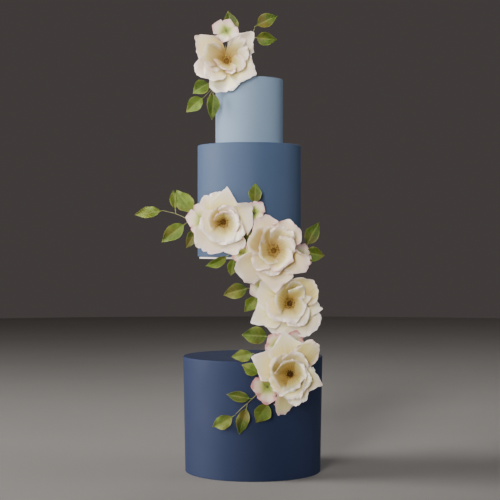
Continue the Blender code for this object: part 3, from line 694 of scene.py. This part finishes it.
def leaf_grid(leaf, rows, columns, chance=None):
    """A leaf's sheet in its own frame: a short stalk, then a blade folded along its midrib."""
    along = np.linspace(0, 1, rows + 1)[:, None] + np.zeros((1, columns + 1))
    across = np.linspace(-1, 1, columns + 1)[None, :] + np.zeros((rows + 1, 1))
    blade = np.clip((along - LEAF_STALK) / (1 - LEAF_STALK), 0, 1)
    outline = np.sin(np.pi * blade ** LEAF_BELLY) ** LEAF_FULLNESS * (1.06 - 0.5 * blade ** 4)
    half = np.maximum(WIRE_HALF, 0.5 * leaf.width * np.nan_to_num(outline))
    height = 0.0
    veins = np.zeros_like(along)
    if chance is not None:
        sided = blade + 2 * (across > 0)
        drift = 0.05 * ripple(sided, chance, 1.0, 3.0)
        teeth = (blade * 14 + 14 * drift) % 1.0
        margin = smooth(0.6, 1.0, np.abs(across)) * (half > 2)
        wave = 0.06 * ripple(sided, chance, 1, 3) * (blade > 0)
        half = half * (1 + 0.055 * (teeth - 0.5) * margin + wave)
        comb = ((blade + drift) * 6.5 - 1.5 * np.abs(across) + 0.35 * (across > 0)) % 1.0
        veins = np.exp(-(((comb - 0.5) / 0.1) ** 2)) * smooth(0.0, 0.12, blade) * smooth(1.0, 0.85, blade)
        veins = veins * smooth(1.0, 0.5, np.abs(across))
        edge = np.abs(across) ** 3 * smooth(0.05, 0.3, blade)
        height = -0.25 * veins + 2.2 * edge * ripple(sided, chance, 0.8, 2.0)
        height = height + 1.7 * ripple(blade, chance, 0.4, 0.9) * blade
    fold = math.radians(LEAF_FOLD)
    bend = -math.radians(leaf.droop) * 2 / leaf.length
    distance = leaf.length * along
    points = np.stack(
        [
            np.sin(bend * distance) / bend,
            half * across * math.cos(fold),
            half * np.abs(across) * math.sin(fold) + (1 - np.cos(bend * distance)) / bend + height,
        ],
        axis=-1,
    )
    return points, blade, across, veins


def make_leaf(name, leaf, looks, seed):
    chance = random.Random(seed)
    turned = leaf_turn(leaf)
    plain = moved(leaf_grid(leaf, 4, 2)[0], turned).reshape(-1, 3)
    wire = np.array(leaf.wire, float)
    shift = node_shift(name, np.concatenate([plain, wire[None]]))
    body = Body()
    points, blade, across, veins = leaf_grid(leaf, *LEAF_GRID, chance)
    midrib = np.exp(-((across * smooth(0, 0.15, blade)) / 0.09) ** 2)
    margin = smooth(0.8, 1.0, np.abs(across)) * smooth(0.02, 0.15, blade) + smooth(0.93, 1.0, blade)
    tint = np.full_like(blade, leaf.tint)
    shade = np.stack([midrib, veins, np.clip(margin, 0, 1), tint], axis=-1)
    grain = np.stack([blade, across, tint * 0 + chance.random(), np.ones_like(blade)], axis=-1)
    thickness = LEAF_THICKNESS * (0.6 + 0.6 * midrib)
    add_sheet(body, moved(points, turned) + shift, thickness, shade, grain)
    put_piece(name + "_blade", body, looks["leaf_green"], replaces=(name,))
    stalk = Body()
    into = moved(np.array([0.2 * leaf.length, 0, -0.8]), turned) + shift
    path = curve_through([shift + wire, shift, into], 18)
    add_tube(stalk, path, np.linspace(0.7, 0.35, len(path)), 8, (0.35, 0, 0, chance.random()))
    put_piece(name + "_stalk", stalk, looks["twig_green"])


def curve_through(knots, count):
    """Even points on a smooth curve through the knots (Catmull-Rom)."""
    knots = np.asarray(knots, float)
    ends = np.concatenate([[2 * knots[0] - knots[1]], knots, [2 * knots[-1] - knots[-2]]])
    points = []
    for t in np.linspace(0, len(knots) - 1 - 1e-9, count):
        i = int(t)
        f = t - i
        a, b, c, d = ends[i : i + 4]
        points.append(
            0.5 * (2 * b + (c - a) * f + (2 * a - 5 * b + 4 * c - d) * f ** 2 + (3 * b - a - 3 * c + d) * f ** 3)
        )
    return np.array(points)


# Knots of each stalk, as steps from its first point.
TWIGS = {
    "twig_top": [(0, 0, 0), (3, -1, 18.5), (6, -3, 38.5), (13, -5, 54.5), (18, -6.5, 67.5), (20.2, -6.8, 74)],
    "twig_left": [
        (0, 0, 0), (-10, -10, 2.5), (-18, -15, 5), (-30, -14, 10), (-44, -12, 16), (-61.5, -10.3, 20.6),
    ],
    "twig_low": [
        (0, 0, 0), (-4, -1, -5), (-11, -2, -12), (-20, -2.4, -20.5), (-29, -1.5, -28.5), (-39.2, -0.6, -38.6),
    ],
}


def make_twig(name, knots, looks, seed):
    chance = random.Random(seed)
    path = curve_through(knots, 60)
    shift = node_shift(name, np.asarray(knots, float))
    steps = np.linspace(0, 1, len(path))
    radii = 0.75 - 0.25 * steps + 0.06 * ripple(steps, chance, 4, 12)
    body = Body()
    add_tube(body, path + shift, radii, 10, (0.3, 0, 0, chance.random()))
    put_piece(name + "_stalk", body, looks["twig_green"], replaces=(name,))


# ---------------------------------------------------------------------------------------------------
# Tiers, card and post


def lathe(profile, centre, sides, unevenness, chance):
    """Rings of points of a turned solid; profile runs from the foot's middle to the top's middle."""
    profile = np.asarray(profile, float)
    turn = 2 * math.pi * np.arange(sides) / sides
    wave = np.zeros(sides)
    for pace in (2, 3, 5, 8):
        wave += np.sin(pace * turn + chance.uniform(0, 6.28)) / pace
    radius = profile[:, :1] + unevenness * wave[None] * (profile[:, :1] > 0.5 * profile[:, 0].max())
    height = np.repeat(profile[:, 1:], sides, axis=1)
    rings = np.stack([radius * np.cos(turn) + centre[0], radius * np.sin(turn) + centre[1], height], axis=-1)
    return rings


def add_turned(body, profile, centre, sides, unevenness, chance, shade=(0, 0, 0, 0)):
    rings = lathe(profile, centre, sides, unevenness, chance)
    count = len(rings)
    index = np.arange(count * sides).reshape(count, sides)
    after = np.roll(index, -1, axis=1)
    walls = np.stack(
        [index[:-1].ravel(), after[:-1].ravel(), after[1:].ravel(), index[1:].ravel()], axis=1
    )
    points = rings.reshape(-1, 3)
    ends = np.array([[centre[0], centre[1], profile[0][1]], [centre[0], centre[1], profile[-1][1]]])
    start, end = count * sides, count * sides + 1
    first = np.stack([after[0], index[0], np.full(sides, start), np.full(sides, start)], axis=1)
    last = np.stack([index[-1], after[-1], np.full(sides, end), np.full(sides, end)], axis=1)
    body.add(np.concatenate([points, ends]), np.concatenate([walls, first, last]), shade, (0, 0, 0, 0))


def drum_profile(foot, radius, low, high, edge, foot_edge):
    """Half outline of an iced tier: rounded foot, straight side, rounded top edge."""
    points = [(foot * 0.5, low), (foot - foot_edge, low)]
    for step in range(1, 5):
        angle = math.pi / 2 * step / 4
        points.append((foot - foot_edge + foot_edge * math.sin(angle), low + foot_edge * (1 - math.cos(angle))))
    for share in np.linspace(0.02, 0.98, 14):
        points.append((foot + (radius - foot) * share, low + (high - low) * share))
    for step in range(0, 9):
        angle = math.pi / 2 * step / 8
        points.append((radius - edge * (1 - math.cos(angle)), high - edge * (1 - math.sin(angle))))
    for share in (0.85, 0.6, 0.3, 0.05):
        points.append(((radius - edge) * share, high))
    return points


def make_drum(node, look, foot_share, edge, foot_edge, looks, seed, name, unevenness=0.25):
    low, high = (np.array(corner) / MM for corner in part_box(node))
    centre = (low + high) / 2
    radius = (high[0] - low[0]) / 2
    profile = drum_profile(radius * foot_share, radius, low[2], high[2], edge, foot_edge)
    body = Body()
    add_turned(body, profile, centre[:2], 160, unevenness, random.Random(seed))
    put_piece(name, body, looks[look], sharp=60, replaces=(node,))


def make_post(looks):
    """The post, with a narrow collar at each end."""
    low, high = (np.array(corner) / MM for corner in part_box("post"))
    centre = (low + high) / 2
    radius = (high[0] - low[0]) / 2
    shaft = radius * 0.86
    profile = [(radius * 0.4, low[2]), (radius, low[2]), (radius, low[2] + 5), (shaft, low[2] + 6.5)]
    for height in np.linspace(low[2] + 7, high[2] - 7, 30):
        profile.append((shaft, height))
    profile += [(shaft, high[2] - 6.5), (radius, high[2] - 5), (radius, high[2]), (radius * 0.4, high[2])]
    body = Body()
    add_turned(body, profile, centre[:2], 64, 0.0, random.Random(5))
    put_piece("post_shaft", body, looks["post"], sharp=40, replaces=("post",))


# ---------------------------------------------------------------------------------------------------
# Materials


class Look:
    """A Principled material whose nodes are added one by one."""

    def __init__(self, name, roughness, specular=0.4):
        self.material = bpy.data.materials.new(name)
        self.material.use_nodes = True
        self.nodes = self.material.node_tree.nodes
        self.links = self.material.node_tree.links
        self.shader = self.nodes["Principled BSDF"]
        self.set(self.shader, "Roughness", roughness)
        self.set(self.shader, "Specular IOR Level", specular)

    def set(self, node, socket, value):
        target = node.inputs[socket]
        if isinstance(value, bpy.types.NodeSocket):
            self.links.new(value, target)
        else:
            target.default_value = value

    def add(self, kind, **inputs):
        node = self.nodes.new(kind)
        for socket, value in inputs.items():
            self.set(node, socket.replace("_", " "), value)
        return node

    def math(self, operation, first, second=0.0, clamp=False):
        node = self.nodes.new("ShaderNodeMath")
        node.operation = operation
        node.use_clamp = clamp
        self.set(node, 0, first)
        self.set(node, 1, second)
        return node.outputs[0]

    def mix(self, factor, first, second):
        node = self.nodes.new("ShaderNodeMix")
        node.data_type = "RGBA"
        self.set(node, "Factor", factor)
        self.set(node, 6, first)
        self.set(node, 7, second)
        return node.outputs[2]

    def ramp(self, factor, stops):
        node = self.nodes.new("ShaderNodeValToRGB")
        band = node.color_ramp
        while len(band.elements) < len(stops):
            band.elements.new(1.0)
        for element, (place, colour) in zip(band.elements, stops):
            element.position = place
            element.color = (*colour, 1.0)
        self.set(node, "Fac", factor)
        return node.outputs["Color"]

    def parts(self, label):
        """Red, green, blue and alpha of a point colour."""
        node = self.nodes.new("ShaderNodeAttribute")
        node.attribute_name = label
        split = self.add("ShaderNodeSeparateColor", Color=node.outputs["Color"])
        return (*split.outputs, node.outputs["Alpha"])

    def noise(self, scale, detail=3.0, vector=None, roughness=0.55):
        node = self.add("ShaderNodeTexNoise", Scale=scale, Detail=detail, Roughness=roughness)
        if vector is None:
            vector = self.add("ShaderNodeTexCoord").outputs["Object"]
        self.set(node, "Vector", vector)
        return node.outputs["Fac"]

    def span(self, value, low, high):
        """A 0 to 1 value spread between low and high."""
        node = self.nodes.new("ShaderNodeMapRange")
        self.set(node, "Value", value)
        self.set(node, "To Min", low)
        self.set(node, "To Max", high)
        return node.outputs[0]

    def bump(self, height, distance, strength=1.0):
        node = self.add("ShaderNodeBump", Height=height, Distance=distance, Strength=strength)
        self.set(self.shader, "Normal", node.outputs[0])

    def finish(self, colour):
        self.set(self.shader, "Base Color", colour)
        return self.material


def rgb(red, green, blue):
    return (red, green, blue, 1.0)


def icing_look(name, gloss, base, lighter, darker):
    """Smooth matt rolled icing: faint mottling, a hand-polished sheen and a fine tooth."""
    look = Look(name, 0.62, gloss)
    broad = look.noise(9.0, 3.0)
    fine = look.noise(160.0, 4.0)
    colour = look.mix(look.span(broad, 0.0, 1.0), rgb(*darker), rgb(*lighter))
    colour = look.mix(0.55, colour, rgb(*base))
    colour = look.mix(look.span(fine, 0.0, 0.12), colour, rgb(*lighter))
    look.set(look.shader, "Roughness", look.span(look.noise(26.0), 0.58, 0.74))
    height = look.math("ADD", look.math("MULTIPLY", fine, 0.25), look.noise(1100.0, 2.0))
    look.bump(height, 0.00006)
    return look.finish(colour)


def petal_look(name, dusty_pink_and_shade, edge, pink, stain):
    """Sugar paste petals: cream, stained at the root, dusted pink at the rim, with fine radial veins.

    The root stain also paints the shade deep in the bowls, the dusty pink is partly painted pinkish
    shade, and the paler rim colour is partly a painted highlight along the edges.
    """
    look = Look(name, 0.6, 0.25)
    heart, rim, blush, tone = look.parts("shade")
    along, across, _, _ = look.parts("grain")
    place = look.add("ShaderNodeCombineXYZ", X=look.math("MULTIPLY", along, 1.6))
    look.set(place, "Y", look.math("MULTIPLY", across, 16.0))
    look.set(place, "Z", look.math("MULTIPLY", tone, 30.0))
    streaks = look.noise(1.0, 3.0, place.outputs[0], 0.65)
    clouds = look.noise(70.0, 3.0)
    heart = look.math("ADD", heart, look.math("MULTIPLY", look.math("SUBTRACT", streaks, 0.5), 0.22), True)
    # The root colour from the ramp, which deep in the bowls also paints their shade.
    colour = look.ramp(heart, stain)
    # The dusty pink from noise and the petal's tone: partly pink dust, partly painted pinkish shade.
    dust = look.math("ADD", look.span(look.noise(22.0, 2.0), -1.0, 1.6), look.span(tone, -0.3, 0.6), True)
    dust = look.math("MULTIPLY", dust, look.math("SUBTRACT", 1.0, heart))
    colour = look.mix(look.math("MULTIPLY", dust, 0.7), colour, dusty_pink_and_shade)
    # Toward the rim the colour turns to the paler edge cream: partly the thinner paste, partly a painted highlight.
    colour = look.mix(look.math("MULTIPLY", rim, 0.75), colour, edge)
    colour = look.mix(look.math("MULTIPLY", blush, 0.75), colour, pink)
    look.set(look.shader, "Subsurface Weight", 0.25)
    look.set(look.shader, "Subsurface Radius", (1.0, 0.75, 0.5))
    look.set(look.shader, "Subsurface Scale", 0.0025)
    look.set(look.shader, "Roughness", look.span(clouds, 0.5, 0.7))
    look.bump(streaks, 0.00025, 0.4)
    return look.finish(colour)


def leaf_look():
    """Satin sugar leaves: mottled green with paler veins and margins and a brown tinge."""
    look = Look("leaf_green", 0.55, 0.2)
    midrib, veins, margin, tint = look.parts("shade")
    along, across, chance, _ = look.parts("grain")
    clouds = look.noise(60.0, 4.0)
    shift = look.math("ADD", tint, look.span(clouds, -0.6, 0.6), True)
    colour = look.ramp(
        shift,
        [
            (0.0, (0.014, 0.030, 0.003)),
            (0.4, (0.042, 0.075, 0.006)),
            (0.75, (0.090, 0.145, 0.014)),
            (1.0, (0.18, 0.26, 0.05)),
        ],
    )
    pale = rgb(0.22, 0.26, 0.06)
    colour = look.mix(look.math("MULTIPLY", veins, 0.2), colour, pale)
    colour = look.mix(look.math("MULTIPLY", midrib, 0.4), colour, pale)
    colour = look.mix(look.math("MULTIPLY", margin, 0.5), colour, pale)
    patches = look.span(look.noise(38.0), -1.1, 1.4)
    brown = look.math("MULTIPLY", look.math("ADD", patches, look.math("MULTIPLY", margin, 0.3), True), 0.6)
    colour = look.mix(brown, colour, rgb(0.17, 0.10, 0.02))
    look.set(look.shader, "Roughness", look.span(clouds, 0.46, 0.64))
    look.bump(look.noise(420.0, 3.0), 0.00015, 0.6)
    return look.finish(colour)


def stamen_look():
    """Golden filaments, brown anthers."""
    look = Look("stamen", 0.6, 0.25)
    depth, _, _, chance = look.parts("shade")
    speckle = look.noise(900.0, 2.0)
    shift = look.math("ADD", depth, look.span(look.math("MULTIPLY", speckle, chance), -0.12, 0.2), True)
    colour = look.ramp(
        shift,
        [
            (0.0, (0.52, 0.42, 0.12)),
            (0.35, (0.42, 0.25, 0.05)),
            (0.7, (0.16, 0.075, 0.014)),
            (1.0, (0.055, 0.022, 0.006)),
        ],
    )
    look.bump(speckle, 0.0001, 0.6)
    return look.finish(colour)


def stalk_look():
    """Florist's tape: pale green-brown with fine stretch marks."""
    look = Look("twig_green", 0.6, 0.3)
    _, _, _, chance = look.parts("shade")
    fibres = look.noise(300.0, 4.0)
    colour = look.mix(look.span(fibres, 0.1, 0.9), rgb(0.10, 0.13, 0.04), rgb(0.26, 0.27, 0.13))
    colour = look.mix(look.math("MULTIPLY", chance, 0.3), colour, rgb(0.26, 0.17, 0.09))
    look.bump(fibres, 0.0002, 0.7)
    return look.finish(colour)


def card_look():
    look = Look("card", 0.75, 0.25)
    fibres = look.noise(500.0, 4.0)
    colour = look.mix(fibres, rgb(0.60, 0.56, 0.51), rgb(0.80, 0.77, 0.72))
    look.bump(fibres, 0.0001, 0.5)
    return look.finish(colour)


def post_look():
    look = Look("post", 0.42, 0.4)
    clouds = look.noise(60.0, 4.0)
    colour = look.mix(clouds, rgb(0.035, 0.036, 0.040), rgb(0.075, 0.075, 0.08))
    look.set(look.shader, "Roughness", look.span(clouds, 0.34, 0.5))
    look.bump(look.noise(900.0, 2.0), 0.00006, 0.6)
    return look.finish(colour)


def floor_look():
    look = Look("floor", 0.8, 0.2)
    colour = look.mix(look.noise(3.0), rgb(0.24, 0.23, 0.22), rgb(0.27, 0.26, 0.25))
    return look.finish(colour)


def make_looks():
    # The rose's ramp from cream to the colour at the root; its darker end also paints the shade deep in the bowls.
    cream_stain_and_shade = [
        (0.0, (0.88, 0.80, 0.63)),
        (0.3, (0.86, 0.80, 0.43)),
        (0.55, (0.75, 0.68, 0.25)),
        (0.78, (0.60, 0.49, 0.15)),
        (0.9, (0.55, 0.41, 0.13)),
        (1.0, (0.38, 0.25, 0.06)),
    ]
    pink_stain = [
        (0.0, (0.84, 0.71, 0.64)),
        (0.4, (0.78, 0.74, 0.52)),
        (0.75, (0.56, 0.60, 0.22)),
        (1.0, (0.26, 0.36, 0.06)),
    ]
    return {
        "icing_pale": icing_look("icing_pale", 0.28, (0.135, 0.195, 0.275), (0.15, 0.21, 0.295), (0.12, 0.18, 0.255)),
        "icing_blue": icing_look("icing_blue", 0.3, (0.036, 0.062, 0.118), (0.042, 0.07, 0.13), (0.031, 0.055, 0.107)),
        "icing_dark": icing_look("icing_dark", 0.25, (0.0095, 0.0185, 0.056), (0.0115, 0.0215, 0.063), (0.0075, 0.016, 0.049)),
        # sugar_cream: its dusty pink also paints pinkish shade, and its paler edge cream is partly a painted
        # highlight.
        "sugar_cream": petal_look("sugar_cream", rgb(0.72, 0.53, 0.45), rgb(0.94, 0.88, 0.82), rgb(0.76, 0.38, 0.36), cream_stain_and_shade),
        "sugar_pink": petal_look("sugar_pink", rgb(0.76, 0.50, 0.45), rgb(0.88, 0.74, 0.70), rgb(0.50, 0.13, 0.14), pink_stain),
        "stamen": stamen_look(),
        "leaf_green": leaf_look(),
        "twig_green": stalk_look(),
        "card": card_look(),
        "post": post_look(),
    }


# ---------------------------------------------------------------------------------------------------
# Studio


CAMERA_PLACE = (-0.0044, -2.006, 0.345)
CAMERA_PITCH = -0.304  # degrees below the horizon
CAMERA_LENS = 95.04


def aimed(place, target):
    """Rotation of a lamp or camera at place that looks at target."""
    return (Vector(target) - Vector(place)).to_track_quat("-Z", "Y").to_euler()


def add_area(name, place, target, size, energy, colour, spread=180):
    data = bpy.data.lights.new(name, "AREA")
    data.shape = "DISK"
    data.size = size
    data.energy = energy
    data.color = colour
    data.spread = math.radians(spread)
    lamp = bpy.data.objects.new(name, data)
    lamp.location = place
    lamp.rotation_euler = aimed(place, target)
    bpy.context.scene.collection.objects.link(lamp)


def make_studio():
    floor_mesh = bpy.data.meshes.new("floor")
    turns = np.linspace(0, 2 * math.pi, 64, endpoint=False)
    rim = [(4.2 * math.cos(turn), 4.2 * math.sin(turn), 0) for turn in turns]
    floor_mesh.from_pydata(rim, [], [tuple(range(len(rim)))])
    floor_mesh.materials.append(floor_look())
    floor = bpy.data.objects.new("floor", floor_mesh)
    bpy.context.scene.collection.objects.link(floor)
    add_area("key", (-2.55, -0.3, 0.8), (0, 0, 0.32), 1.6, 155, (1.0, 0.97, 0.94))
    add_area("high", (-0.7, -2.25, 1.8), (0, 0, 0.72), 0.8, 2.8, (1.0, 0.96, 0.93), 28)
    add_area("fill", (-0.5, -2.2, 0.6), (0, 0, 0.42), 0.5, 2.8, (1.0, 0.96, 0.93), 50)
    add_area("side", (2.3, -0.4, 0.9), (0, 0, 0.45), 1.2, 20, (0.95, 0.97, 1.0))
    add_area("back", (0.5, 1.6, 1.5), (0, 0, 0.36), 1.0, 1.0, (1.0, 0.97, 0.94), 70)
    world = bpy.data.worlds.new("studio")
    world.use_nodes = True
    world.node_tree.nodes["Background"].inputs["Color"].default_value = (0.060, 0.052, 0.050, 1.0)
    world.node_tree.nodes["Background"].inputs["Strength"].default_value = 1.0
    bpy.context.scene.world = world
    data = bpy.data.cameras.new("camera")
    data.lens = CAMERA_LENS
    camera = bpy.data.objects.new("camera", data)
    camera.location = CAMERA_PLACE
    camera.rotation_euler = (math.radians(90 + CAMERA_PITCH), 0, 0)
    bpy.context.scene.collection.objects.link(camera)
    bpy.context.scene.camera = camera


# ---------------------------------------------------------------------------------------------------


def main():
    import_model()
    looks = make_looks()
    make_drum("tier_bottom", "icing_dark", 0.97, 1.6, 0.5, looks, 1, "tier_bottom_icing")
    make_drum("tier_middle", "icing_blue", 1.0, 1.6, 0.5, looks, 2, "tier_middle_icing")
    make_drum("tier_top", "icing_pale", 1.0, 1.6, 0.5, looks, 3, "tier_top_icing")
    make_drum("middle_board", "card", 1.0, 0.5, 0.4, looks, 4, "middle_card", 0.0)
    make_post(looks)
    for seed, (name, rose) in enumerate(ROSES.items()):
        make_rose(name, rose, looks, 100 + seed)
    for seed, (name, blossom) in enumerate(FLORETS.items()):
        make_floret(name, blossom, looks, 200 + seed)
    for seed, (name, leaf) in enumerate(LEAVES.items()):
        make_leaf(name, leaf, looks, 300 + seed)
    for seed, (name, knots) in enumerate(TWIGS.items()):
        make_twig(name, knots, looks, 400 + seed)
    make_studio()


main()
